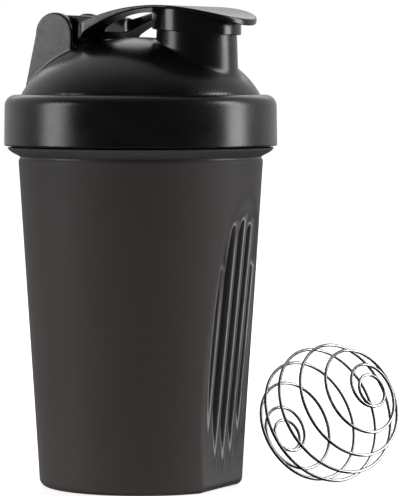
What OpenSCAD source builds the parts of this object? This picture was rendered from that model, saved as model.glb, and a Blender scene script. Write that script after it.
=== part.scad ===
// Protein shaker: tapered cup, screw lid with a spout, hinged flip cap with a carry arm,
// and a loose spiral-wire ball. Millimetres. Origin at the centre of the cup's base,
// +Z up, +X from the hinge to the spout.

/* [Cup] */
// Radius of the straight wall, carried down to the floor
cup_low_r = 36.4; // [35.5:0.1:37]
// Radius of the straight wall under the collar
cup_high_r = 43.9; // [43.6:0.1:44.2]
// Height of the straight wall
cup_wall_h = 116.9; // [116:0.1:117.5]
// Thickness of the wall
cup_wall = 1.8; // [1.4:0.1:2.2]
// Thickness of the floor
cup_floor = 2.4; // [1.8:0.1:3]
// Radius of the rounded edge round the base
cup_corner = 2.6; // [2:0.1:4]
// Outer radius of the threaded neck
neck_r = 43.2; // [43:0.1:43.3]
// Inner radius of the neck
mouth_r = 41.2; // [41:0.1:41.4]
// Height of the rim
rim_z = 136.15; // [136:0.05:136.2]

/* [Grip pads] */
// Heading of the first pad, the second is opposite
pad_heading = 3.5; // [0:0.1:15]
// Distance of a pad from the cup's axis at the floor
pad_d = 32.6; // [32:0.1:33.2]
// Radius of the pad's hollow curve, seen from the side
pad_curve_r = 540; // [520:5:560]
// Spacing of the ribs
rib_pitch = 6.3; // [6:0.1:6.6]
// Radius of a rib's rounded back
rib_r = 2.6; // [2.2:0.1:2.8]

/* [Lid] */
// Outer radius of the screw ring at its bottom edge
ring_r = 49; // [48.8:0.1:49.5]
// Height of the ring's bottom edge
ring_low_z = 122.3; // [122.2:0.1:122.5]
// Height of the ring's top
ring_top_z = 140.6; // [140.4:0.1:140.9]
// Radius of the ring's rounded top edge
ring_corner = 4; // [2.5:0.1:4.2]
// Height of the dome's top
dome_top_z = 161.2; // [160.9:0.1:161.5]
// Half-width of the ellipse that the dome follows
dome_a = 45.8; // [45.6:0.1:46]
// Half-height of the same ellipse
dome_b = 31.6; // [31.4:0.1:31.8]
// Thickness of the dome
dome_wall = 2; // [1.6:0.1:2.2]

/* [Spout] */
// Distance of the spout in front of the cup's axis
spout_x = 23; // [22.8:0.1:23.4]
// Outer radius of the spout at its mouth
spout_r = 14.1; // [13.9:0.1:14.2]
// Radius of the spout's bore
spout_bore_r = 12; // [11.8:0.1:12.2]
// Height of the mouth on the spout's axis
mouth_z = 166.4; // [165.9:0.1:166.7]
// Forward slope of the mouth
mouth_slope = 4.5; // [3:0.5:5]

/* [Hinge] */
// Distance of the hinge behind the cup's axis
hinge_back = 28.7; // [28.5:0.1:29]
// Height of the hinge axis
hinge_z = 162.4; // [162.2:0.1:162.7]
// Radius of the round top of an ear
ear_r = 7.7; // [7.3:0.1:7.9]
// Outer face of an ear from the middle
ear_y = 13; // [12.8:0.1:13.4]
// Thickness of an ear
ear_t = 3.3; // [3:0.1:3.5]
// Radius of the stub pins on the flip cap
pin_r = 2.4; // [2:0.1:2.6]

/* [Flip cap] */
// Half-width of the arm
arm_half_w = 21; // [20.6:0.1:21.2]
// Radius of the arm's round front end, centred on the spout
arm_nose_r = 21.3; // [21.2:0.1:21.5]
// Radius of the arch under the arm
arch_r = 55.2; // [55:0.1:55.5]
// Radius of the arm's crown, seen from the side
crown_r = 78; // [74:1:90]
// Thickness of the arm where it is thinnest
arm_t = 1; // [0.9:0.1:1.4]
// Half-width of the carry hole
hole_half_w = 10.5; // [9:0.5:15]
// Outer radius of the cap's skirt
skirt_r = 15.85; // [15.8:0.05:16]

/* [Wire ball] */
// Diameter of the ball over the wire
ball_d = 50.6; // [48:0.1:51]
// Diameter of the wire
wire_d = 1.2; // [1:0.1:1.4]
// Turns of wire, the small end rings included
ball_turns = 9; // [7:1:10]
// Radius of the small ring at each end
ball_ring_r = 5.9; // [5:0.1:7]

/* [Hidden] */

$fn = 96;

// Cup
cup_slope = (cup_high_r - cup_low_r) / cup_wall_h;
cup_lean = atan(cup_slope);
collar_r = 47.7;
collar_top_z = ring_low_z - 0.5;
inner_corner = 4;
inner_top_z = 112.9;
pad_top_z = 111;
rib_bottoms = [7, 9, 17];
rib_tops = [98.4, 96.3, 81.5];
rib_proud = 0.6;

// Screw thread, right-handed
pitch = 6;
thread_turns = 1.25;
thread_steps = 48;
thread_root_h = 3;
thread_crest_h = 1.2;
thread_z = 125.9;
thread_bite = 0.5;
cup_thread_r = 44.9;
lid_thread_r = 43.65;
lid_thread_drop = 2.05;

// Lid
ring_draft = 0.25;
ring_inner_low_r = 46.6;
ring_inner_high_r = 45.7;
deck_z = 138.1;
sleeve_outer_r = 40.2;
sleeve_inner_r = 38.6;
sleeve_low_z = 132.9;
dome_r = 43;
hinge_x = -hinge_back;
ear_foot_x = -41.6;
ear_foot_z = 140;
ear_front_z = 150.9;
spout_low_z = 146.9;
spout_low_r = 14.8;

// Lid seal
seal_gap = 0.05;
seal_inner_r = 40.45;
seal_outer_r = 44.9;

// Flip cap, cut from blanks that are this tall and wide, above a height inside the lid
blank = 60;
blank_z = 140;
arch_x = 18.3;
arch_z = 116.05;
crown_x = 16.8;
arm_back_z = 169.3;
arm_front_z = 168.4;
arm_full_x = -12.5;
neck_half_w = 9.4;
neck_lift = 0.9;
neck_front_x = -19.4;
barrel_r = 6;
hole_back_x = -10.5;
hole_front_x = 5.6;
hole_corner = 5;
skirt_low_z = 162.9;
skirt_bore_r = 14.75;
boss_r = 5.05;
boss_low_z = 163.7;
pin_reach = 2.1;
pin_gap = 0.08;
socket_depth = 2.2;

// Spout plug
plug_r = 11.7;
plug_low_z = 161.2;
plug_bevel = 0.6;
plug_flange_r = 13.3;
plug_flange_t = 1.5;
plug_lift = 0.1;

// Wire ball
ball_x = 55;
ball_y = 41.3;
ball_tilt = 65.9;
ball_heading = -18.7;
ball_steps = 24;
wire_sides = 8;
wire_r = wire_d / 2;
ball_path_r = ball_d / 2 - wire_r;

// Points on a circular arc, from angle a to angle b in n steps
function arc(c, r, a, b, n) = [for (i = [0:n])
    let (t = a + (b - a) * i / n) [c.x + r * cos(t), c.y + r * sin(t)]];

function wall_r(z) = cup_low_r + cup_slope * z;

// Height of the dome over a point at radius r, sunk by a wall thickness t
function dome_z(r, t = 0) = dome_top_z - dome_b
    + (dome_b - t) * sqrt(1 - pow(r / (dome_a - t), 2));

function dome_line(r_in, r_out, n, t = 0) = [for (i = [0:n])
    let (r = r_in + (r_out - r_in) * i / n) [r, dome_z(r, t)]];

// Distance of a grip pad from the cup's axis at height z
function pad_at(z) = pad_d + pad_curve_r - sqrt(pow(pad_curve_r, 2) - z * z);

// Height on a plane that slopes forward like the mouth, z on the spout's axis
function sloped(z, x) = z - tan(mouth_slope) * (x - spout_x);

// Underside and top of the arm
function arch_at(x, r = arch_r) = arch_z + sqrt(r * r - pow(x - arch_x, 2));
function arm_top(x) = arch_z + arch_r + arm_t - crown_r
    + sqrt(pow(crown_r, 2) - pow(x - crown_x, 2));

module revolved(points) {
    rotate_extrude() polygon(points);
}

// Solid as wide as w across Y, from an outline in X and Z
module side_prism(points, w) {
    rotate([90, 0, 0]) linear_extrude(w, center = true) polygon(points);
}

// Helical ridge: root radius, crest radius, height of its start
module thread(root_r, crest_r, z) {
    rings = thread_steps * thread_turns;
    points = [for (i = [0:rings])
        let (t = 360 * i / thread_steps, h = z + pitch * i / thread_steps)
        each [for (p = [[root_r, -thread_root_h / 2], [crest_r, -thread_crest_h / 2],
                        [crest_r, thread_crest_h / 2], [root_r, thread_root_h / 2]])
            [p[0] * cos(t), p[0] * sin(t), h + p[1]]]];
    sides = [for (i = [0:rings - 1], k = [0:3])
        let (a = 4 * i + k, b = 4 * i + (k + 1) % 4) each [[a, a + 4, b + 4], [a, b + 4, b]]];
    last = 4 * rings;
    caps = [[0, 1, 2], [0, 2, 3], [last, last + 2, last + 1], [last, last + 3, last + 2]];
    outward = [for (f = concat(sides, caps)) crest_r < root_r ? f : [f[2], f[1], f[0]]];
    polyhedron(points, outward, convexity = 4);
}

module cup_outside() {
    revolved(concat(
        [[0, 0]],
        arc([wall_r(cup_corner) - cup_corner / cos(cup_lean), cup_corner],
            cup_corner, -90, -cup_lean, 8),
        [[cup_high_r, cup_wall_h], [cup_high_r - 0.6, cup_wall_h + 1.4],
         [45.6, cup_wall_h + 2.8], [47.4, cup_wall_h + 4.1],
         [collar_r, collar_top_z - 0.3], [collar_r - 0.3, collar_top_z],
         [neck_r, collar_top_z], [neck_r, rim_z - 0.6], [neck_r - 0.6, rim_z], [0, rim_z]]));
}

module cup_inside() {
    low_r = wall_r(inner_corner + cup_floor) - cup_wall;
    revolved(concat(
        [[0, cup_floor]],
        arc([low_r - inner_corner, cup_floor + inner_corner], inner_corner, -90, 0, 6),
        [[wall_r(inner_top_z) - cup_wall, inner_top_z], [mouth_r, inner_top_z + 6],
         [mouth_r, rim_z + 1], [0, rim_z + 1]]));
}

// Everything outside the two grip pads, moved inwards by depth
module pad_cuts(depth) {
    for (side = [0, 180]) rotate([0, 0, pad_heading + side])
        intersection() {
            translate([pad_d + pad_curve_r, 0, 0]) rotate([90, 0, 0])
                cylinder(r = pad_curve_r + depth, h = 120, center = true, $fn = 720);
            translate([20, -60, -1]) cube([60, 120, pad_top_z + 1]);
        }
}

// Straight rod that rises out of the hollow pad between heights z0 and z1
module rib(y, z0, z1) {
    run = pad_at(z1) + rib_proud - pad_at(z0);
    rise = z1 - z0;
    lean = atan(run / rise);
    translate([pad_at(z0), y, z0]) rotate([0, lean, 0])
        translate([-rib_r, 0, 0]) cylinder(r = rib_r, h = norm([run, rise]), $fn = 48);
}

module cup() {
    color([0.2, 0.19, 0.18, 0.9]) difference() {
        union() {
            difference() {
                cup_outside();
                pad_cuts(0);
            }
            for (side = [0, 180], i = [-2:2]) rotate([0, 0, pad_heading + side])
                rib(i * rib_pitch, rib_bottoms[abs(i)], rib_tops[abs(i)]);
            thread(neck_r - thread_bite, cup_thread_r, thread_z);
        }
        difference() {
            cup_inside();
            pad_cuts(cup_wall);
        }
    }
}

module lid_outside() {
    top_r = ring_r - ring_draft;
    revolved(concat(
        [[0, ring_low_z], [ring_r - 0.4, ring_low_z], [ring_r, ring_low_z + 0.4]],
        arc([top_r - ring_corner, ring_top_z - ring_corner], ring_corner, 0, 90, 8),
        [[dome_r + 0.6, ring_top_z]],
        dome_line(dome_r, 0, 24)));
}

module lid_inside() {
    revolved(concat(
        [[0, ring_low_z - 1], [ring_inner_low_r, ring_low_z - 1],
         [ring_inner_low_r, ring_low_z + 1], [ring_inner_high_r, deck_z],
         [sleeve_outer_r, deck_z], [sleeve_outer_r, sleeve_low_z],
         [sleeve_inner_r, sleeve_low_z]],
        dome_line(sleeve_inner_r, 0, 20, dome_wall)));
}

module ear() {
    side_prism(concat(
        arc([hinge_x, hinge_z], ear_r, 0, 176, 22),
        [[ear_foot_x, ear_foot_z], [hinge_x + ear_r, ear_front_z]]), ear_t);
}

module spout_outside() {
    intersection() {
        translate([spout_x, 0, spout_low_z])
            cylinder(r1 = spout_low_r, r2 = spout_r, h = mouth_z + 3 - spout_low_z);
        side_prism([[0, blank_z], [blank, blank_z], [blank, sloped(mouth_z, blank)],
            [0, sloped(mouth_z, 0)]], blank);
    }
}

module lid() {
    color([0.06, 0.06, 0.065]) {
        difference() {
            union() {
                lid_outside();
                spout_outside();
                for (s = [-1, 1]) translate([0, s * (ear_y - ear_t / 2), 0]) ear();
            }
            lid_inside();
            translate([spout_x, 0, blank_z]) cylinder(r = spout_bore_r, h = blank);
            for (s = [-1, 1]) translate([hinge_x, s * (ear_y - ear_t), hinge_z])
                rotate([90, 0, 0])
                    cylinder(r = pin_r + pin_gap, h = 2 * socket_depth, center = true);
        }
        thread(ring_inner_low_r + thread_bite, lid_thread_r, thread_z - lid_thread_drop);
    }
}

module lid_seal() {
    low = rim_z + seal_gap;
    high = deck_z - seal_gap;
    color([0.75, 0.75, 0.76]) revolved([[seal_inner_r, low], [seal_outer_r, low],
        [seal_outer_r, high], [seal_inner_r, high]]);
}

// Half of the arm's outline seen from above, from the barrel to the nose
arm_half = concat(
    [[hinge_x, neck_half_w]],
    arc([neck_front_x, neck_half_w + 4], 4, -90, -10, 6),
    arc([arm_full_x + 1.5, arm_half_w - 4.5], 4.5, 170, 90, 6),
    arc([spout_x, 0], arm_nose_r, acos((12 - spout_x) / arm_nose_r) - 20, 0, 24));

module arm_plan() {
    linear_extrude(blank) polygon(concat(arm_half,
        [for (i = [len(arm_half) - 2:-1:0]) [arm_half[i].x, -arm_half[i].y]]));
}

module carry_hole() {
    w = hole_half_w - hole_corner;
    linear_extrude(blank) polygon(concat(
        arc([hole_front_x - hole_corner, w], hole_corner, 0, 90, 6),
        arc([hole_back_x + hole_corner, w], hole_corner, 90, 180, 6),
        arc([hole_back_x + hole_corner, -w], hole_corner, 180, 270, 6),
        arc([hole_front_x - hole_corner, -w], hole_corner, 270, 360, 6)));
}

module arm() {
    tip_x = spout_x + arm_nose_r + 1;
    tops = [for (x = [hinge_x:2.5:tip_x]) [x, arm_top(x)]];
    unders = [for (x = [tip_x:-2.5:arm_full_x]) [x, arch_at(x)]];
    neck_unders = concat(
        [for (x = [arm_full_x:-3:hinge_x + barrel_r]) [x, dome_z(-x) + neck_lift]],
        [[hinge_x, hinge_z - barrel_r + 0.2]]);
    difference() {
        union() {
            intersection() {
                side_prism(concat(tops, [[tip_x, arm_top(tip_x)]], unders, neck_unders), blank);
                translate([0, 0, blank_z]) arm_plan();
            }
            side_prism(concat([[hinge_x, arm_back_z], [hole_back_x + 1, arm_front_z],
                [hole_back_x + 1, arch_at(hole_back_x + 1)]], neck_unders), 2 * neck_half_w);
        }
        translate([0, 0, blank_z]) carry_hole();
    }
}

module skirt() {
    low_x = spout_x - skirt_r - 1;
    high_x = spout_x + skirt_r + 1;
    intersection() {
        translate([spout_x, 0, 150]) difference() {
            cylinder(r = skirt_r, h = 30);
            translate([0, 0, -1]) cylinder(r = skirt_bore_r, h = 32);
        }
        side_prism(concat([[low_x, sloped(skirt_low_z, low_x)],
            [high_x, sloped(skirt_low_z, high_x)]],
            [for (i = [0:12]) let (x = high_x - (high_x - low_x) * i / 12)
                [x, arch_at(x, arch_r + arm_t / 2)]]), blank);
    }
}

module flip_cap() {
    color([0.07, 0.07, 0.075]) {
        arm();
        skirt();
        translate([spout_x, 0, boss_low_z])
            cylinder(r = boss_r, h = arch_at(spout_x, arch_r + arm_t / 2) - boss_low_z);
        translate([hinge_x, 0, hinge_z]) rotate([90, 0, 0]) {
            cylinder(r = barrel_r, h = 2 * neck_half_w, center = true);
            cylinder(r = pin_r, h = 2 * (ear_y - ear_t + pin_reach), center = true);
        }
    }
}

module spout_plug() {
    color([0.8, 0.8, 0.8]) difference() {
        union() {
            translate([spout_x, 0, plug_low_z]) {
                cylinder(r1 = plug_r - plug_bevel, r2 = plug_r, h = plug_bevel);
                translate([0, 0, plug_bevel])
                    cylinder(r = plug_r, h = mouth_z + plug_lift + 0.5 - plug_low_z - plug_bevel);
            }
            intersection() {
                translate([spout_x, 0, mouth_z - 5]) cylinder(r = plug_flange_r, h = 12);
                side_prism([for (p = [[0, 0], [blank, 0], [blank, plug_flange_t],
                        [0, plug_flange_t]])
                    [p.x, sloped(mouth_z + plug_lift + p.y, p.x)]], blank);
            }
        }
        translate([spout_x, 0, boss_low_z - 0.1]) cylinder(r = boss_r - 0.05, h = 12);
    }
}

// Centre line of the wire in the ball's own frame: a ring at each end, a spiral between
ball_rings = ball_turns * ball_steps;
ball_ring_a = asin(ball_ring_r / ball_path_r);
function ball_polar(i) = ball_ring_a + (180 - 2 * ball_ring_a)
    * min(1, max(0, (i / ball_steps - 1) / (ball_turns - 2)));
function ball_out(i) = let (p = ball_polar(i), t = -360 * i / ball_steps)
    [sin(p) * cos(t), sin(p) * sin(t), cos(p)];
function unit(v) = v / norm(v);
ball_points = [for (i = [0:ball_rings])
    let (out = ball_out(i),
         along = unit(ball_out(i + 0.5) - ball_out(i - 0.5)),
         side = unit(cross(along, out)))
    each [for (k = [0:wire_sides - 1]) let (t = 360 * k / wire_sides)
        ball_path_r * out + wire_r * (cos(t) * out + sin(t) * side)]];
ball_low = min([for (p = ball_points) p.z * cos(ball_tilt) - p.x * sin(ball_tilt)]);

module whisk_ball() {
    sides = [for (i = [0:ball_rings - 1], k = [0:wire_sides - 1])
        let (a = wire_sides * i + k, b = wire_sides * i + (k + 1) % wire_sides)
        each [[a, a + wire_sides, b + wire_sides], [a, b + wire_sides, b]]];
    last = wire_sides * ball_rings;
    start_cap = [for (k = [1:wire_sides - 2]) [0, k, k + 1]];
    end_cap = [for (k = [1:wire_sides - 2]) [last, last + k + 1, last + k]];
    color([0.78, 0.79, 0.8]) translate([ball_x, ball_y, -ball_low])
        rotate([0, ball_tilt, ball_heading])
            polyhedron(ball_points, concat(sides, start_cap, end_cap), convexity = 10);
}

cup();
lid();
lid_seal();
flip_cap();
spout_plug();
whisk_ball();
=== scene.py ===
import math

import bmesh
import bpy
import numpy as np
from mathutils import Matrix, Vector


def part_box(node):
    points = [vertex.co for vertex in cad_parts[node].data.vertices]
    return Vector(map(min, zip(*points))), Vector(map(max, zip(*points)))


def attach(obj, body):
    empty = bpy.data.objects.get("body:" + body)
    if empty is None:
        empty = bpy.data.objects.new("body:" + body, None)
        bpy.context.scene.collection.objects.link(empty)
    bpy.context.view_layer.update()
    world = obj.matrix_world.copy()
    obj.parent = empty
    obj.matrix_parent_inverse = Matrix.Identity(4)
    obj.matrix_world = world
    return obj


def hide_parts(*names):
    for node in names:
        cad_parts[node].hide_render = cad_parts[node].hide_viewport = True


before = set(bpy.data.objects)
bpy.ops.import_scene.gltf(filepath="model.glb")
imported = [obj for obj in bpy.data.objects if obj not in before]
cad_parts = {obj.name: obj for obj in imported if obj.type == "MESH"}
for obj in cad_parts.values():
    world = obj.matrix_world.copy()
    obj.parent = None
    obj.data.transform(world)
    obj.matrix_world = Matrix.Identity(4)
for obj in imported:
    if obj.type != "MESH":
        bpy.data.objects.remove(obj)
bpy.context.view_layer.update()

MM = 0.001

# ---------------------------------------------------------------- sizes, millimetres, row frame
CUP_LOW_R, CUP_HIGH_R, CUP_WALL_H = 36.4, 43.9, 116.9
CUP_WALL, CUP_FLOOR, CUP_CORNER = 1.8, 2.4, 2.6
NECK_R, MOUTH_R, RIM_Z = 43.2, 41.2, 136.15
COLLAR_TOP = 121.8
PAD_HEADING, PAD_D, PAD_CURVE_R = math.radians(3.5), 32.6, 540.0
RIB_PITCH, RIB_R, RIB_PROUD = 6.3, 2.6, 0.6
RIB_BOTTOMS, RIB_TOPS = (7, 9, 17), (98.4, 96.3, 81.5)
PITCH, THREAD_TURNS, THREAD_Z, LID_THREAD_DROP = 6.0, 1.25, 125.9, 2.05
RING_R, RING_DRAFT, RING_LOW, RING_TOP, RING_CORNER = 49.0, 0.25, 122.3, 140.6, 4.0
RING_BORE, RING_FLARE, LID_THREAD_IN, LID_THREAD_OUT = 45.7, 0.9, 43.65, 46.6
DOME_TOP, DOME_A, DOME_B, DOME_WALL = 161.2, 45.8, 31.6, 2.0
DECK_Z, SLEEVE_OUT, SLEEVE_IN = 138.1, 40.2, 38.6
SPOUT_X, SPOUT_R, SPOUT_LOW_R, SPOUT_LOW_Z, SPOUT_BORE = 23.0, 14.1, 14.8, 146.9, 12.0
MOUTH_Z, MOUTH_SLOPE = 166.4, math.radians(4.5)
SPOUT_FOOT_Z, SPOUT_BORE_LOW_Z = 140, 144
HINGE_X, HINGE_Z, EAR_R, EAR_Y, EAR_T = -28.7, 162.4, 7.7, 13.0, 3.3
PIN_R, BARREL_R, EAR_FOOT_X, EAR_FOOT_Z = 2.4, 6.0, -41.6, 140.0
PIN_GAP, PIN_REACH, SOCKET_DEPTH = 0.08, 2.1, 2.2
ARM_HALF_W, NOSE_R, ARCH_R, ARM_T = 21.0, 21.3, 55.2, 1.0
ARCH_X, ARCH_Z, ARM_BACK_Z, ARM_FULL_X = 18.3, 116.05, 169.3, -12.5
CROWN_X, CROWN_R, ARM_FRONT_Z = 16.8, 78.0, 168.4
NECK_HALF_W, NECK_LIFT = 9.4, 0.9
HOLE_BACK_X, HOLE_FRONT_X, HOLE_HALF_W, HOLE_CORNER = -10.5, 5.6, 10.5, 5.0
SKIRT_R, SKIRT_BORE, SKIRT_LOW_Z = 15.85, 14.75, 162.9
BOSS_R, BOSS_LOW_Z = 5.05, 163.7


# ---------------------------------------------------------------- mesh helpers
def add_mesh(name, points_mm, faces, normals=None):
    """A smooth mesh object from millimetre points and an array of equal-length faces."""
    faces = np.asarray(faces, dtype=np.int32)
    mesh = bpy.data.meshes.new(name)
    mesh.vertices.add(len(points_mm))
    mesh.vertices.foreach_set("co", (np.asarray(points_mm) * MM).ravel())
    sides = faces.shape[1]
    mesh.loops.add(faces.size)
    mesh.loops.foreach_set("vertex_index", faces.ravel())
    mesh.polygons.add(len(faces))
    mesh.polygons.foreach_set("loop_start", np.arange(0, faces.size, sides, dtype=np.int32))
    mesh.update(calc_edges=True)
    mesh.validate()
    mesh.shade_smooth()
    if normals is not None:
        mesh.normals_split_custom_set_from_vertices(normals)
    piece = bpy.data.objects.new(name, mesh)
    bpy.context.scene.collection.objects.link(piece)
    return piece


def soft_min(a, b, k):
    h = np.clip(0.5 + 0.5 * (b - a) / k, 0, 1)
    return b * (1 - h) + a * h - k * h * (1 - h)


def soft_max(a, b, k):
    return -soft_min(-a, -b, k)


def smooth_step(t):
    t = np.clip(t, 0, 1)
    return t * t * (3 - 2 * t)


def gradient(shape, p, step=0.02):
    parts = []
    for axis in range(3):
        d = np.zeros(3)
        d[axis] = step
        parts.append((shape(*(p + d).T) - shape(*(p - d).T)) / (2 * step))
    return np.stack(parts, 1)


def solid_mesh(name, shape, low, high, step):
    """The surface where shape(x, y, z) is zero, as quads drawn onto it from a grid."""
    block = 6
    counts = [block * math.ceil((h - l) / step / block) for l, h in zip(low, high)]
    axes = [l + step * np.arange(n) for l, n in zip(low, counts)]
    centres = [a.reshape(-1, block).mean(1) for a in axes]
    coarse = shape(*[c.ravel() for c in np.meshgrid(*centres, indexing="ij")])
    coarse = coarse.reshape([len(c) for c in centres])
    near = np.abs(coarse) < step * block * 1.25 + 1
    field = coarse
    for axis in range(3):
        field = np.repeat(field, block, axis)
        near = np.repeat(near, block, axis)
    at = np.nonzero(near)
    field[at] = shape(*[a[i] for a, i in zip(axes, at)])

    inside = field < 0
    corners = [inside[i:counts[0] - 1 + i, j:counts[1] - 1 + j, k:counts[2] - 1 + k]
               for i in (0, 1) for j in (0, 1) for k in (0, 1)]
    total = sum(c.astype(np.int8) for c in corners)
    cells = np.nonzero((total > 0) & (total < 8))
    ids = np.full(total.shape, -1, dtype=np.int32)
    ids[cells] = np.arange(len(cells[0]))
    points = np.zeros((len(cells[0]), 3))
    weight = np.zeros(len(cells[0]))
    for axis in range(3):
        others = [a for a in range(3) if a != axis]
        for u in (0, 1):
            for v in (0, 1):
                a = [c.copy() for c in cells]
                a[others[0]] += u
                a[others[1]] += v
                b = [c.copy() for c in a]
                b[axis] += 1
                fa, fb = field[tuple(a)], field[tuple(b)]
                cross = (fa < 0) != (fb < 0)
                t = np.where(cross, fa / np.where(cross, fa - fb, 1), 0)
                spot = np.stack([ax[i] for ax, i in zip(axes, a)], 1)
                spot[:, axis] += t * step
                points += spot * cross[:, None]
                weight += cross
    points /= weight[:, None]
    start = points.copy()
    for _ in range(4):
        g = gradient(shape, points)
        points -= (shape(*points.T) / np.maximum((g ** 2).sum(1), 0.04))[:, None] * g
        shift = points - start
        far = np.maximum(1, np.linalg.norm(shift, axis=1) / (0.8 * step))
        points = start + shift / far[:, None]

    quads = []
    for axis in range(3):
        u, v = [(1, 2), (2, 0), (0, 1)][axis]
        a = [slice(None)] * 3
        b = [slice(None)] * 3
        a[axis], b[axis] = slice(0, -1), slice(1, None)
        one, two = inside[tuple(a)], inside[tuple(b)]
        for flip in (False, True):
            e = list(np.nonzero((one & ~two) if not flip else (~one & two)))
            ring = []
            for du, dv in ((-1, -1), (0, -1), (0, 0), (-1, 0)):
                c = [x.copy() for x in e]
                c[u] += du
                c[v] += dv
                ring.append(ids[tuple(c)])
            quad = np.stack(ring, 1)
            quads.append(quad[:, ::-1] if flip else quad)
    normals = gradient(shape, points)
    normals /= np.maximum(np.linalg.norm(normals, axis=1), 1e-6)[:, None]
    return add_mesh(name, points, np.concatenate(quads), normals)


# ---------------------------------------------------------------- lid
def dome_gap(r, z, t=0.0):
    """Signed distance, near the surface, to the dome sunk by t."""
    a, b = DOME_A - t, DOME_B - t
    h = z - (DOME_TOP - DOME_B)
    g = np.sqrt((r / a) ** 2 + (h / b) ** 2) + 1e-6
    return (g - 1) * g / np.maximum(np.sqrt((r / a ** 2) ** 2 + (h / b ** 2) ** 2), 1e-6)


def sloped(z, x):
    return z - math.tan(MOUTH_SLOPE) * (x - SPOUT_X)


def ear_gap(x, y, z):
    dx, dz = x - HINGE_X, z - HINGE_Z
    top = np.hypot(dx, dz) - EAR_R
    lean = math.atan2(HINGE_X - EAR_R - EAR_FOOT_X, HINGE_Z - EAR_FOOT_Z)
    rear = -(dx + EAR_R) * math.cos(lean) + dz * math.sin(lean)
    side = np.where(dz > 0, top, np.maximum(dx - EAR_R, rear))
    flat = np.abs(np.abs(y) - (EAR_Y - EAR_T / 2)) - EAR_T / 2
    edge = 0.75
    a, b = side + edge, flat + edge
    gap = np.minimum(np.maximum(a, b), 0) + np.hypot(np.maximum(a, 0), np.maximum(b, 0)) - edge
    return np.maximum(gap, EAR_FOOT_Z - z)


def thread_gap(x, y, z, r, crest_r, root_r, start_z):
    """Signed distance to a helical ridge between crest_r and root_r."""
    sign = 1 if crest_r > root_r else -1
    turn = np.mod(np.arctan2(y, x) / (2 * math.pi), 1)
    best = np.full_like(r, 1e3)
    for n in (0, 1):
        t = turn + n
        ends = smooth_step(np.minimum(t, THREAD_TURNS - t) / 0.05)
        crest = root_r + (crest_r - root_r) * (0.15 + 0.85 * ends)
        half = 0.6 + 0.9 * np.clip((crest_r - r) / (crest_r - root_r), 0, 1)
        ridge = soft_max(sign * (r - crest), np.abs(z - start_z - PITCH * t) - half, 0.3)
        best = np.minimum(best, np.where((t >= 0) & (t <= THREAD_TURNS), ridge, 1e3))
    return np.maximum(best, -sign * (r - root_r) - 0.4)


def lid_shape(x, y, z):
    r = np.hypot(x, y)
    a = r - (RING_R - RING_DRAFT * (z - RING_LOW) / (RING_TOP - RING_LOW)) + RING_CORNER
    b = z - RING_TOP + RING_CORNER
    ring = np.minimum(np.maximum(a, b), 0) + np.hypot(np.maximum(a, 0), np.maximum(b, 0))
    ring = soft_max(ring - RING_CORNER, RING_LOW - z, 0.7)
    dome = soft_max(dome_gap(r, z), RING_LOW + 5 - z, 0.5)
    body = soft_min(ring, dome, 0.5)
    crease = np.hypot(r - 43.3, z - RING_TOP - 0.25) - 0.55
    body = soft_max(body, -crease, 0.3)
    rho = np.hypot(x - SPOUT_X, y)
    spout_r = SPOUT_LOW_R + (SPOUT_R - SPOUT_LOW_R) * (z - SPOUT_LOW_Z) / (MOUTH_Z + 3 - SPOUT_LOW_Z)
    spout = soft_max(rho - spout_r, (z - sloped(MOUTH_Z, x)) * math.cos(MOUTH_SLOPE), 0.8)
    spout = np.maximum(spout, SPOUT_FOOT_Z - z)
    outer = soft_min(body, spout, 1.5)
    outer = soft_min(outer, ear_gap(x, y, z), 1.2)
    chamber = soft_max(r - SLEEVE_IN, dome_gap(r, z, DOME_WALL), 0.8)
    ring_in = RING_BORE + RING_FLARE * (DECK_Z - z) / (DECK_Z - RING_LOW - 1)
    channel = soft_max(soft_max(SLEEVE_OUT - r, r - ring_in, 0.5), z - DECK_Z, 0.5)
    gap = soft_max(outer, -np.minimum(chamber, channel), 0.5)
    gap = soft_max(gap, np.where(z > SPOUT_BORE_LOW_Z, SPOUT_BORE - rho, -9), 0.6)
    hinge = np.hypot(x - HINGE_X, z - HINGE_Z)
    socket = np.maximum(hinge - PIN_R - PIN_GAP, np.abs(y) - EAR_Y + EAR_T - SOCKET_DEPTH)
    gap = soft_max(gap, -socket, 0.2)
    ridge = thread_gap(x, y, z, r, LID_THREAD_IN, LID_THREAD_OUT, THREAD_Z - LID_THREAD_DROP)
    return soft_min(gap, np.maximum(ridge, RING_LOW + 0.2 - z), 0.3)


# ---------------------------------------------------------------- flip cap
def over_arm(x, z):
    return np.hypot(x - CROWN_X, z - ARCH_Z - ARCH_R - ARM_T + CROWN_R) - CROWN_R


def under_neck(x, z):
    """Gap below the neck, which follows the dome back to the hinge barrel."""
    dome = DOME_TOP - DOME_B + DOME_B * np.sqrt(np.maximum(1 - (x / DOME_A) ** 2, 0))
    return np.maximum(dome + NECK_LIFT, HINGE_Z - BARREL_R + 0.2) - z


def rounded_box(u, v, half_u, half_v, corner):
    a, b = np.abs(u) - half_u + corner, np.abs(v) - half_v + corner
    return np.minimum(np.maximum(a, b), 0) + np.hypot(np.maximum(a, 0), np.maximum(b, 0)) - corner


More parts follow.
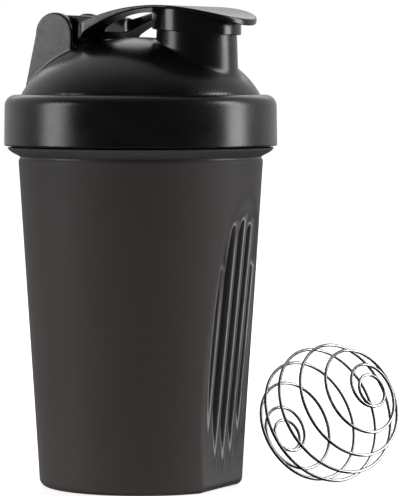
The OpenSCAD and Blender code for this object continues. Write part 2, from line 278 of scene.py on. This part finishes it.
def flip_cap_shape(x, y, z):
    nose = np.hypot(x - SPOUT_X, y) - NOSE_R
    mid = (ARM_FULL_X - 3 + SPOUT_X) / 2
    plate = rounded_box(x - mid, y, SPOUT_X - mid, ARM_HALF_W, 4.5)
    square = np.maximum(np.abs(y) - ARM_HALF_W, x - SPOUT_X)
    plate = np.where(x > SPOUT_X - 8, soft_min(square, nose, 0.3), plate)
    neck = np.maximum(np.abs(y) - NECK_HALF_W, np.maximum(HINGE_X - x, x - HOLE_BACK_X - 1))
    plan = soft_min(plate, neck, 5.0)
    hole_mid = (HOLE_BACK_X + HOLE_FRONT_X) / 2
    hole = rounded_box(x - hole_mid, y, HOLE_FRONT_X - hole_mid, HOLE_HALF_W, HOLE_CORNER)
    arch = np.hypot(x - ARCH_X, z - ARCH_Z)
    share = smooth_step((x - ARM_FULL_X + 1) / 2)
    under = (1 - share) * under_neck(x, z) + share * (ARCH_R - arch)
    arm = soft_max(soft_max(over_arm(x, z), under, 0.4), plan, 0.7)
    fall = (ARM_BACK_Z - ARM_FRONT_Z) / (HOLE_BACK_X + 1 - HINGE_X)
    back_top = z - ARM_BACK_Z + fall * (x - HINGE_X)
    back = soft_max(soft_max(back_top, under, 0.4), neck, 0.9)
    arm = soft_max(soft_min(arm, back, 0.8), -hole, 0.5)
    hinge = np.hypot(x - HINGE_X, z - HINGE_Z)
    barrel = soft_max(hinge - BARREL_R, np.abs(y) - NECK_HALF_W, 0.5)
    pin = soft_max(hinge - PIN_R, np.abs(y) - EAR_Y + EAR_T - PIN_REACH, 0.3)
    arm = soft_min(arm, barrel, 1.2)
    rho = np.hypot(x - SPOUT_X, y)
    skirt = soft_max(rho - SKIRT_R, SKIRT_BORE - rho, 0.2)
    skirt = soft_max(skirt, (sloped(SKIRT_LOW_Z, x) - z), 0.4)
    skirt = np.maximum(skirt, arch - ARCH_R - ARM_T / 2)
    boss = np.maximum(np.maximum(rho - BOSS_R, BOSS_LOW_Z - z), arch - ARCH_R - ARM_T / 2)
    return soft_min(soft_min(soft_min(arm, skirt, 0.6), boss, 0.3), pin, 0.3)


# ---------------------------------------------------------------- cup
def wall_r(z):
    return CUP_LOW_R + (CUP_HIGH_R - CUP_LOW_R) * z / CUP_WALL_H


def pad_at(z):
    return PAD_D + PAD_CURVE_R - np.sqrt(PAD_CURVE_R ** 2 - z * z)


def cup_wall(theta, z, sunk=0.0, ribs=True):
    """Distance of the cup's wall from its axis, with both grip pads and their ribs."""
    z = np.broadcast_to(np.asarray(z, float), theta.shape)
    cone = wall_r(z) - sunk
    best = cone
    for side in (0, math.pi):
        delta = np.mod(theta - PAD_HEADING - side + math.pi, 2 * math.pi) - math.pi
        ahead = np.abs(delta) < math.radians(75)
        c, s = np.cos(np.where(ahead, delta, 0)), np.sin(delta)
        dip = smooth_step((z - 12) / 20) * smooth_step((101 - z) / 10) * 0.7 * ribs
        pad = (pad_at(z) - sunk - dip * smooth_step(2.6 - np.abs(delta) / 0.16)) / c
        if ribs:
            for i in range(-2, 3):
                low, high = RIB_BOTTOMS[abs(i)], RIB_TOPS[abs(i)]
                t = (z - low) / (high - low)
                crest = pad_at(low) + (pad_at(high) + RIB_PROUD - pad_at(low)) * t
                axis_x, axis_y = crest - RIB_R, i * RIB_PITCH
                end = np.clip((z - high + RIB_R) / RIB_R, 0, 1)
                b = axis_x * c + axis_y * s
                disc = b * b - axis_x ** 2 - axis_y ** 2 + RIB_R ** 2 * (1 - end * end)
                rod = b + np.sqrt(np.maximum(disc, 0)) - 3 * np.sqrt(np.maximum(-disc, 0))
                rod = np.where((t > -0.05) & (t < 1), rod, 0)
                pad = soft_max(pad, rod, 0.35)
        best = np.where(ahead, soft_min(best, pad, 0.3), best)
    return np.minimum(best, cone)


def cup_columns():
    """Headings of the columns: close together over the ribs, further apart elsewhere."""
    rib_span, pad_span = math.radians(29), math.radians(38)
    part = np.concatenate([
        np.linspace(-rib_span, rib_span, 110, endpoint=False),
        np.linspace(rib_span, pad_span, 12, endpoint=False),
        np.linspace(pad_span, math.pi - pad_span, 44, endpoint=False),
        np.linspace(math.pi - pad_span, math.pi - rib_span, 12, endpoint=False)])
    return PAD_HEADING + np.concatenate([part, part + math.pi])


def cup_mesh():
    theta = cup_columns()
    n = len(theta)
    rows = []

    def row(z, r):
        rows.append((np.broadcast_to(r, (n,)), np.full(n, float(z))))

    for share in (0.3, 0.7, 0.95):
        row(0, share * (cup_wall(theta, CUP_CORNER, ribs=False) - CUP_CORNER))
    for a in np.linspace(0, math.pi / 2, 9)[:-1]:
        z = CUP_CORNER * (1 - math.cos(a))
        row(z, cup_wall(theta, z, ribs=False) - CUP_CORNER * (1 - math.sin(a)))
    for z in np.linspace(CUP_CORNER, CUP_WALL_H - 0.4, 128):
        row(z, cup_wall(theta, z))
    for r, up in ((43.9, 0), (43.82, 0.4), (43.5, 0.9), (43.35, 1.3), (43.55, 1.7),
                  (44.3, 2.1), (45.3, 2.6), (46.2, 3.1), (46.9, 3.6), (47.4, 4.1),
                  (47.65, 4.4), (47.7, 4.6), (47.62, 4.8), (47.4, 4.9), (45.5, 4.9),
                  (43.7, 4.9), (43.3, 5.0)):
        row(CUP_WALL_H + up, r)
    for z in np.linspace(COLLAR_TOP + 0.5, RIM_Z - 0.8, 44):
        grid_r = np.linspace(NECK_R - 0.2, 45.2, 60)[:, None]
        gap = thread_gap(grid_r * np.cos(theta), grid_r * np.sin(theta), z,
                         grid_r + 0 * theta, 44.9, NECK_R - 0.5, THREAD_Z)
        solid = np.where(gap < 0, grid_r, 0).max(0)
        row(z, np.maximum(solid, NECK_R))
    for a in np.linspace(0, math.pi, 9):
        half = (NECK_R - MOUTH_R) / 2
        row(RIM_Z - 0.6 + 0.6 * math.sin(a), NECK_R - half + half * math.cos(a))
    for z in np.linspace(RIM_Z - 2, 119, 6):
        row(z, MOUTH_R)
    for z in np.linspace(113, 8, 44):
        row(z, cup_wall(theta, z, CUP_WALL, ribs=False))
    for a in np.linspace(0, math.pi / 2, 7):
        z = CUP_FLOOR + 4 * (1 - math.sin(a))
        row(z, cup_wall(theta, z, CUP_WALL, ribs=False) - 4 * (1 - math.cos(a)))
    for share in (0.75, 0.35):
        row(CUP_FLOOR, share * (cup_wall(theta, CUP_FLOOR, CUP_WALL, ribs=False) - 4))

    r = np.array([x[0] for x in rows])
    z = np.array([x[1] for x in rows])
    points = np.stack([r * np.cos(theta), r * np.sin(theta), z], 2).reshape(-1, 3)
    count = len(rows)
    points = np.concatenate([points, [[0, 0, 0], [0, 0, CUP_FLOOR]]])
    i, j = np.meshgrid(np.arange(count - 1), np.arange(n), indexing="ij")
    k = (j + 1) % n
    quads = np.stack([i * n + j, i * n + k, (i + 1) * n + k, (i + 1) * n + j], 2).reshape(-1, 4)
    piece = add_mesh("cup_shell", points, quads)
    return piece, count, n


def fan_caps(piece, count, n):
    """Closes the first and last rows onto the two centre points."""
    bm = bmesh.new()
    bm.from_mesh(piece.data)
    bm.verts.ensure_lookup_table()
    total = count * n
    for j in range(n):
        k = (j + 1) % n
        bm.faces.new((bm.verts[total], bm.verts[k], bm.verts[j])).smooth = True
        top = (count - 1) * n
        bm.faces.new((bm.verts[total + 1], bm.verts[top + j], bm.verts[top + k])).smooth = True
    bm.to_mesh(piece.data)
    bm.free()


# ---------------------------------------------------------------- seal, plug and wire ball
def revolved_mesh(name, outline, n=180):
    """A closed outline of (radius, height) points turned about the Z axis."""
    outline = np.asarray(outline, float)
    theta = np.linspace(0, 2 * math.pi, n, endpoint=False)
    points = np.stack([outline[:, :1] * np.cos(theta), outline[:, :1] * np.sin(theta),
                       np.broadcast_to(outline[:, 1:], (len(outline), n))], 2).reshape(-1, 3)
    i, j = np.meshgrid(np.arange(len(outline)), np.arange(n), indexing="ij")
    i2, j2 = (i + 1) % len(outline), (j + 1) % n
    quads = np.stack([i * n + j, i * n + j2, i2 * n + j2, i2 * n + j], 2).reshape(-1, 4)
    return add_mesh(name, points, quads)


def rounded_outline(r0, r1, z0, z1, corner, steps=5):
    """A rectangle of radius and height with round corners, anticlockwise."""
    outline = []
    for cr, cz, start in ((r1 - corner, z0 + corner, -90), (r1 - corner, z1 - corner, 0),
                          (r0 + corner, z1 - corner, 90), (r0 + corner, z0 + corner, 180)):
        for a in np.radians(np.linspace(start, start + 90, steps)):
            outline.append((cr + corner * math.cos(a), cz + corner * math.sin(a)))
    return outline


def plug_shape(x, y, z):
    rho = np.hypot(x - SPOUT_X, y)
    body = soft_max(soft_max(rho - 11.7, 161.2 - z, 0.9), z - MOUTH_Z - 0.6, 0.2)
    ring = np.hypot(rho - 11.55, z - 164.1) - 0.35
    low = sloped(MOUTH_Z + 0.1, x)
    flange = soft_max(soft_max(rho - 13.3, low - z, 0.4), z - low - 1.5, 0.4)
    bore = np.maximum(rho - 5.05, 163.6 - z)
    return soft_max(soft_min(soft_min(body, ring, 0.4), flange, 0.6), -bore, 0.2)


BALL_D, WIRE_D, BALL_TURNS, BALL_RING_R = 50.6, 1.2, 9, 5.9
BALL_X, BALL_Y, BALL_TILT, BALL_HEADING = 55.0, 41.3, math.radians(65.9), math.radians(-18.7)


def ball_mesh():
    """One wire: a small ring at each end and a spiral round the ball between them."""
    per_turn, sides = 72, 12
    wire_r = WIRE_D / 2
    path_r = BALL_D / 2 - wire_r
    ring_a = math.asin(BALL_RING_R / path_r)

    def out(i):
        share = np.clip((i / per_turn - 1) / (BALL_TURNS - 2), 0, 1)
        p = ring_a + (math.pi - 2 * ring_a) * share
        t = -2 * math.pi * i / per_turn
        return np.stack([np.sin(p) * np.cos(t), np.sin(p) * np.sin(t), np.cos(p)], 1)

    i = np.arange(per_turn * BALL_TURNS + 1, dtype=float)
    radial = out(i)
    along = out(i + 0.5) - out(i - 0.5)
    along /= np.linalg.norm(along, axis=1)[:, None]
    side = np.cross(along, radial)
    side /= np.linalg.norm(side, axis=1)[:, None]
    a = 2 * math.pi * np.arange(sides) / sides
    ring = np.cos(a)[:, None] * radial[:, None] + np.sin(a)[:, None] * side[:, None]
    centre = path_r * radial
    loops = list(centre[:, None] + wire_r * ring)
    for end, step in ((0, -1), (-1, 1)):
        caps = []
        for share in (0.4, 0.75, 0.95):
            forward = step * wire_r * share * along[end]
            caps.append(centre[end] + forward + wire_r * math.sqrt(1 - share ** 2) * ring[end])
        loops = caps[::-1] + loops if step < 0 else loops + caps
    points = np.concatenate(loops)
    m = len(loops)
    i, k = np.meshgrid(np.arange(m - 1), np.arange(sides), indexing="ij")
    k2 = (k + 1) % sides
    quads = np.stack([i * sides + k, (i + 1) * sides + k, (i + 1) * sides + k2, i * sides + k2], 2)
    c, s = math.cos(BALL_TILT), math.sin(BALL_TILT)
    ch, sh = math.cos(BALL_HEADING), math.sin(BALL_HEADING)
    tilt = np.array([[c, 0, s], [0, 1, 0], [-s, 0, c]])
    turn = np.array([[ch, -sh, 0], [sh, ch, 0], [0, 0, 1]])
    points = points @ (turn @ tilt).T
    points += [BALL_X, BALL_Y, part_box("whisk_ball")[0][2] / MM - points[:, 2].min()]
    piece = add_mesh("wire_ball", points, quads.reshape(-1, 4))
    return piece


# ---------------------------------------------------------------- materials
class Nodes:
    """A material's node tree with short calls for the few node kinds used here."""

    def __init__(self, name):
        self.material = bpy.data.materials.new(name)
        self.material.use_nodes = True
        self.tree = self.material.node_tree
        self.shader = self.tree.nodes["Principled BSDF"]
        self.coords = self.tree.nodes.new("ShaderNodeTexCoord")

    def put(self, socket, value):
        self.shader.inputs[socket].default_value = value

    def link(self, a, b):
        self.tree.links.new(a, b)

    def noise(self, scale, detail=2.0, rough=0.5, stretch=(1, 1, 1)):
        mapping = self.tree.nodes.new("ShaderNodeMapping")
        mapping.inputs["Scale"].default_value = stretch
        self.link(self.coords.outputs["Object"], mapping.inputs["Vector"])
        node = self.tree.nodes.new("ShaderNodeTexNoise")
        node.inputs["Scale"].default_value = scale
        node.inputs["Detail"].default_value = detail
        node.inputs["Roughness"].default_value = rough
        self.link(mapping.outputs[0], node.inputs["Vector"])
        return node.outputs["Fac"]

    def ramp(self, value, stops):
        node = self.tree.nodes.new("ShaderNodeValToRGB")
        ramp = node.color_ramp
        while len(ramp.elements) < len(stops):
            ramp.elements.new(0.5)
        for element, (at, colour) in zip(ramp.elements, stops):
            element.position = at
            element.color = (*colour, 1) if len(colour) == 3 else colour
        self.link(value, node.inputs["Fac"])
        return node.outputs["Color"]

    def spread(self, value, low, high, from_low=0.3, from_high=0.7):
        node = self.tree.nodes.new("ShaderNodeMapRange")
        for name, number in (("From Min", from_low), ("From Max", from_high),
                             ("To Min", low), ("To Max", high)):
            node.inputs[name].default_value = number
        self.link(value, node.inputs["Value"])
        return node.outputs[0]

    def math(self, kind, a, b=None):
        node = self.tree.nodes.new("ShaderNodeMath")
        node.operation = kind
        for socket, value in zip(node.inputs, (a, b)):
            if isinstance(value, (int, float)):
                socket.default_value = value
            elif value is not None:
                self.link(value, socket)
        return node.outputs[0]

    def mix(self, factor, a, b):
        node = self.tree.nodes.new("ShaderNodeMix")
        node.data_type = "RGBA"
        self.link(factor, node.inputs["Factor"])
        for socket, value in ((node.inputs[6], a), (node.inputs[7], b)):
            if isinstance(value, tuple):
                socket.default_value = (*value, 1)
            else:
                self.link(value, socket)
        return node.outputs[2]

    def bumps(self, *layers):
        """Each layer is (height, distance in metres, strength)."""
        normal = None
        for height, distance, strength in layers:
            node = self.tree.nodes.new("ShaderNodeBump")
            node.inputs["Distance"].default_value = distance
            node.inputs["Strength"].default_value = strength
            self.link(height, node.inputs["Height"])
            if normal:
                self.link(normal, node.inputs["Normal"])
            normal = node.outputs[0]
        self.link(normal, self.shader.inputs["Normal"])


def side_mask(n, front_x, out_y):
    """1 on flat faces along Y behind front_x and beyond out_y, such as the ears' faces: where the
    black plastic gets a matte mottled texture and a painted grey sheen.
    """
    facing = n.tree.nodes.new("ShaderNodeSeparateXYZ")
    n.link(n.coords.outputs["Normal"], facing.inputs[0])
    place = n.tree.nodes.new("ShaderNodeSeparateXYZ")
    n.link(n.coords.outputs["Object"], place.inputs[0])
    flat = n.spread(n.math("ABSOLUTE", facing.outputs[1]), 0, 1, 0.93, 0.995)
    behind = n.math("LESS_THAN", place.outputs[0], front_x * MM)
    above = n.math("GREATER_THAN", place.outputs[2], (RING_TOP + 3) * MM)
    outside = n.math("GREATER_THAN", n.math("ABSOLUTE", place.outputs[1]), out_y * MM)
    there = n.math("MULTIPLY", n.math("MULTIPLY", behind, above), outside)
    return n.math("MULTIPLY", flat, there)


def edge_mask(n, low=0.52, high=0.6):
    geometry = n.tree.nodes.new("ShaderNodeNewGeometry")
    return n.spread(geometry.outputs["Pointiness"], 0, 1, low, high)


def black_plastic(name, gloss, side_sheen_share, front_x, out_y):
    """Black polypropylene: satin skin with a fine grain; flat moulded sides are matte and mottled,
    with a painted grey sheen standing in for the softbox reflected in them.
    """
    n = Nodes(name)
    n.put("Specular IOR Level", 0.5)
    n.put("IOR", 1.49)
    cloud = n.noise(90, 3)
    grain = n.noise(2600, 2)
    mottle = n.noise(420, 4, 0.62)
    side = side_mask(n, front_x, out_y)
    base = n.ramp(cloud, [(0.3, (0.0028, 0.0028, 0.0032)), (0.7, (0.0042, 0.0042, 0.0047))])
    worn = n.mix(edge_mask(n), base, (0.013, 0.013, 0.014))
    # Flat side faces: painted sheen, a lighter mottled grey for the softbox light that their matte
    # texture reflects.
    painted_side_sheen = n.ramp(mottle, [(0.3, (0.06, 0.06, 0.061)), (0.7, (0.13, 0.13, 0.132))])
    n.link(n.mix(n.math("MULTIPLY", side, side_sheen_share), worn, painted_side_sheen), n.shader.inputs["Base Color"])
    rough = n.math("ADD", n.spread(cloud, gloss - 0.03, gloss + 0.03), n.spread(grain, -0.02, 0.02))
    rough = n.math("ADD", rough, n.math("MULTIPLY", side, n.spread(mottle, 0.0, 0.16)))
    n.link(rough, n.shader.inputs["Roughness"])
    n.bumps((grain, 0.00002, 0.35), (n.math("MULTIPLY", mottle, side), 0.00006, 0.5),
            (n.noise(240, 2), 0.00004, 0.12))
    return n.material


def smoked_plastic():
    """Dark translucent polypropylene with faint flow marks along the cup; its colour is painted
    lighter towards the bottom for floor light and darker on the grip pads for shade between the ribs.
    """
    n = Nodes("smoked_plastic")
    n.put("IOR", 1.49)
    n.put("Subsurface Weight", 0.25)
    n.put("Subsurface Radius", (0.006, 0.0045, 0.004))
    n.put("Subsurface Scale", 1.0)
    flow = n.noise(26, 3, 0.5, (1, 1, 0.25))
    grain = n.noise(2200, 2)
    split = n.tree.nodes.new("ShaderNodeSeparateXYZ")
    n.link(n.coords.outputs["Object"], split.inputs[0])
    height = n.spread(split.outputs[2], 0, 1, 0.0, CUP_WALL_H * MM)
    # Painted light: the colour grows lighter towards the bottom, for light from the white floor below.
    floor_lit_tone = n.ramp(height, [(0, (0.058, 0.048, 0.045)), (0.3, (0.043, 0.0365, 0.034)),
                           (1, (0.031, 0.028, 0.027))])
    tint = n.mix(n.spread(flow, 0.0, 0.5), floor_lit_tone, (0.042, 0.036, 0.033))
    across = n.math("MULTIPLY", split.outputs[0], split.outputs[0])
    along = n.math("MULTIPLY", split.outputs[1], split.outputs[1])
    radius = n.math("SQRT", n.math("ADD", across, along))
    cone = n.math("MULTIPLY", split.outputs[2], (CUP_HIGH_R - CUP_LOW_R) / CUP_WALL_H)
    depth = n.math("SUBTRACT", n.math("ADD", cone, CUP_LOW_R * MM), radius)
    pad = n.spread(depth, 0, 1, 0.0002, 0.0008)
    # Painted shade: the grip pads' colour is darkened for the shade between the ribs; the same mask
    # also makes the pads glossier.
    tint = n.mix(n.math("MULTIPLY", pad, 0.6), tint, (0.012, 0.0105, 0.0105))
    n.link(n.mix(edge_mask(n, 0.51, 0.62), tint, (0.046, 0.043, 0.042)), n.shader.inputs["Base Color"])
    n.link(n.spread(pad, 0.2, 0.62, 0, 1), n.shader.inputs["Specular IOR Level"])
    rough = n.math("ADD", n.spread(flow, 0.5, 0.6), n.spread(grain, -0.02, 0.02))
    n.link(n.math("SUBTRACT", rough, n.math("MULTIPLY", pad, 0.25)), n.shader.inputs["Roughness"])
    n.bumps((grain, 0.00002, 0.25), (n.noise(160, 2), 0.00005, 0.12))
    return n.material


def polished_steel():
    n = Nodes("polished_steel")
    n.put("Metallic", 1.0)
    n.put("Anisotropic", 0.4)
    n.put("Specular Tint", (0.22, 0.23, 0.26, 1))
    fine = n.noise(900, 3)
    n.link(n.ramp(fine, [(0.3, (0.27, 0.275, 0.295)), (0.7, (0.4, 0.405, 0.425))]),
           n.shader.inputs["Base Color"])
    n.link(n.spread(fine, 0.10, 0.2), n.shader.inputs["Roughness"])
    n.bumps((n.noise(1500, 2), 0.00003, 0.2))
    return n.material


def silicone(name, light, dark):
    n = Nodes(name)
    n.put("Subsurface Weight", 0.3)
    n.put("Subsurface Radius", (0.002, 0.002, 0.002))
    fine = n.noise(700, 3)
    n.link(n.ramp(fine, [(0.3, dark), (0.7, light)]), n.shader.inputs["Base Color"])
    n.link(n.spread(fine, 0.45, 0.6), n.shader.inputs["Roughness"])
    n.bumps((n.noise(2400, 2), 0.00002, 0.3))
    return n.material


# ---------------------------------------------------------------- stage, lights and camera
CAMERA_AZ, CAMERA_EL = math.radians(29), math.radians(2.9)
AIM_ACROSS, AIM_Z, CAMERA_FAR, LENS = 22.7, 85.5, 1222.0, 246.6


def around(azimuth, elevation, distance):
    """A place round the object: azimuth in radians, 0 at -Y, turning towards +X."""
    return distance * Vector((math.sin(azimuth) * math.cos(elevation),
                              -math.cos(azimuth) * math.cos(elevation), math.sin(elevation)))


def add_camera():
    data = bpy.data.cameras.new("camera")
    data.lens, data.sensor_width = LENS, 36
    data.clip_end = 50
    camera = bpy.data.objects.new("camera", data)
    bpy.context.scene.collection.objects.link(camera)
    aim = MM * Vector((AIM_ACROSS * math.cos(CAMERA_AZ), AIM_ACROSS * math.sin(CAMERA_AZ), AIM_Z))
    back = around(CAMERA_AZ, CAMERA_EL, 1)
    camera.location = aim + back * CAMERA_FAR * MM
    camera.rotation_euler = (-back).to_track_quat("-Z", "Y").to_euler()
    bpy.context.scene.camera = camera


def add_light(name, turn, elevation, distance, width, height, power):
    """A softbox, placed by its turn from the camera's azimuth in degrees, right positive."""
    data = bpy.data.lights.new(name, "AREA")
    data.shape, data.size, data.size_y, data.energy = "RECTANGLE", width, height, power
    light = bpy.data.objects.new(name, data)
    bpy.context.scene.collection.objects.link(light)
    centre = Vector((0, 0, 0.09))
    back = around(CAMERA_AZ + math.radians(turn), math.radians(elevation), 1)
    light.location = centre + back * distance
    light.rotation_euler = (-back).to_track_quat("-Z", "Y").to_euler()
    light.visible_camera = False


def plain_emitter(name, colour, strength, diffuse=None):
    material = bpy.data.materials.new(name)
    material.use_nodes = True
    shader = material.node_tree.nodes["Principled BSDF"]
    shader.inputs["Base Color"].default_value = (*(diffuse or (0, 0, 0)), 1)
    shader.inputs["Roughness"].default_value = 1
    shader.inputs["Specular IOR Level"].default_value = 0
    shader.inputs["Emission Color"].default_value = (*colour, 1)
    shader.inputs["Emission Strength"].default_value = strength
    return material


def disc(name, radius, z, material):
    theta = np.linspace(0, 2 * math.pi, 64, endpoint=False)
    mesh = bpy.data.meshes.new(name)
    mesh.from_pydata([(radius * math.cos(t), radius * math.sin(t), z) for t in theta], [],
                     [tuple(range(64))])
    mesh.materials.append(material)
    piece = bpy.data.objects.new(name, mesh)
    bpy.context.scene.collection.objects.link(piece)
    return piece


def add_backdrop(radius):
    """A white sphere that only the camera sees."""
    bm = bmesh.new()
    bmesh.ops.create_uvsphere(bm, u_segments=48, v_segments=24, radius=radius)
    mesh = bpy.data.meshes.new("backdrop")
    bm.to_mesh(mesh)
    bm.free()
    mesh.materials.append(plain_emitter("backdrop_white", (1, 1, 1), 1.0))
    piece = bpy.data.objects.new("backdrop", mesh)
    bpy.context.scene.collection.objects.link(piece)
    piece.visible_diffuse = piece.visible_glossy = piece.visible_transmission = False
    piece.visible_shadow = piece.visible_volume_scatter = False
    return piece


def brighten_far_floor(material):
    """Emission that rises to white away from the object, so only a contact shadow stays."""
    tree = material.node_tree
    coords = tree.nodes.new("ShaderNodeTexCoord")
    length = tree.nodes.new("ShaderNodeVectorMath")
    length.operation = "LENGTH"
    tree.links.new(coords.outputs["Object"], length.inputs[0])
    spread = tree.nodes.new("ShaderNodeMapRange")
    for name, number in (("From Min", 0.06), ("From Max", 0.4), ("To Min", 0.75), ("To Max", 1)):
        spread.inputs[name].default_value = number
    tree.links.new(length.outputs["Value"], spread.inputs["Value"])
    shader = tree.nodes["Principled BSDF"]
    tree.links.new(spread.outputs[0], shader.inputs["Emission Strength"])


def add_world():
    """Light from behind the object, dark in front and well below the horizon."""
    world = bpy.data.worlds.new("studio")
    bpy.context.scene.world = world
    world.use_nodes = True
    tree = world.node_tree
    coords = tree.nodes.new("ShaderNodeTexCoord")
    towards = tree.nodes.new("ShaderNodeVectorMath")
    towards.operation = "DOT_PRODUCT"
    tree.links.new(coords.outputs["Generated"], towards.inputs[0])
    towards.inputs[1].default_value = -around(CAMERA_AZ, math.radians(-5), 1)
    ramp = tree.nodes.new("ShaderNodeMapRange")
    for name, number in (("From Min", -0.1), ("From Max", 0.55), ("To Min", 0.03), ("To Max", 0.66)):
        ramp.inputs[name].default_value = number
    tree.links.new(towards.outputs["Value"], ramp.inputs["Value"])
    split = tree.nodes.new("ShaderNodeSeparateXYZ")
    tree.links.new(coords.outputs["Generated"], split.inputs[0])
    level = tree.nodes.new("ShaderNodeMapRange")
    for name, number in (("From Min", -0.32), ("From Max", -0.13), ("To Min", 0.12), ("To Max", 1)):
        level.inputs[name].default_value = number
    tree.links.new(split.outputs[2], level.inputs["Value"])
    both = tree.nodes.new("ShaderNodeMath")
    both.operation = "MULTIPLY"
    tree.links.new(ramp.outputs[0], both.inputs[0])
    tree.links.new(level.outputs[0], both.inputs[1])
    background = tree.nodes["Background"]
    background.inputs["Color"].default_value = (0.97, 0.985, 1, 1)
    tree.links.new(both.outputs[0], background.inputs["Strength"])


def add_stage():
    white = plain_emitter("floor_white", (1, 1, 1), 1, (0.8, 0.8, 0.8))
    brighten_far_floor(white)
    floor = disc("floor", 5.0, 0.0, white)
    floor.visible_glossy = False
    add_backdrop(6.0)
    add_world()
    add_light("left_softbox", -75, 7, 1.1, 0.42, 1.0, 7.4)
    add_light("right_softbox", 87, 8, 1.0, 0.34, 1.3, 10.5)
    add_light("top_softbox", -35, 75, 1.2, 1.1, 1.1, 0.35)
    add_light("back_softbox", 180, 30, 1.3, 1.2, 0.5, 1.6)
    bpy.context.scene.view_settings.view_transform = "Standard"


# ---------------------------------------------------------------- build
def finish_piece(piece, material, body, slot, *nodes):
    piece.data.materials.append(material)
    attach(piece, body)
    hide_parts(*nodes)


def build():
    coarse = 1.0
    black = black_plastic("lid_black", 0.27, 0.85, -18, 11)
    cap_black = black_plastic("cap_black", 0.2, 1.0, 22, 19)
    shell, count, n = cup_mesh()
    fan_caps(shell, count, n)
    finish_piece(shell, smoked_plastic(), "cup", "cup_plastic", "cup")
    lid = solid_mesh("lid_shell", lid_shape, (-50, -50, 121), (50, 50, 171), 0.6 * coarse)
    finish_piece(lid, black, "lid", "lid_plastic", "lid")
    cap = solid_mesh("flip_cap_shell", flip_cap_shape, (-36, -23, 153), (47, 23, 174), 0.34 * coarse)
    finish_piece(cap, cap_black, "flip_cap", "cap_plastic", "flip_cap")
    seal = revolved_mesh("seal_ring", rounded_outline(40.5, 44.85, RIM_Z + 0.07, DECK_Z - 0.06, 0.4))
    finish_piece(seal, silicone("seal_grey", (0.62, 0.62, 0.6), (0.5, 0.5, 0.49)),
                 "lid_seal", "seal_silicone", "lid_seal")
    plug = solid_mesh("plug_stopper", plug_shape, (9, -14.4, 160.4), (38, 14.4, 170), 0.4 * coarse)
    finish_piece(plug, silicone("plug_dark", (0.06, 0.06, 0.06), (0.04, 0.04, 0.04)),
                 "flip_cap", "plug_silicone", "spout_plug")
    finish_piece(ball_mesh(), polished_steel(), "whisk_ball", "ball_steel", "whisk_ball")


add_camera()
add_stage()
build()
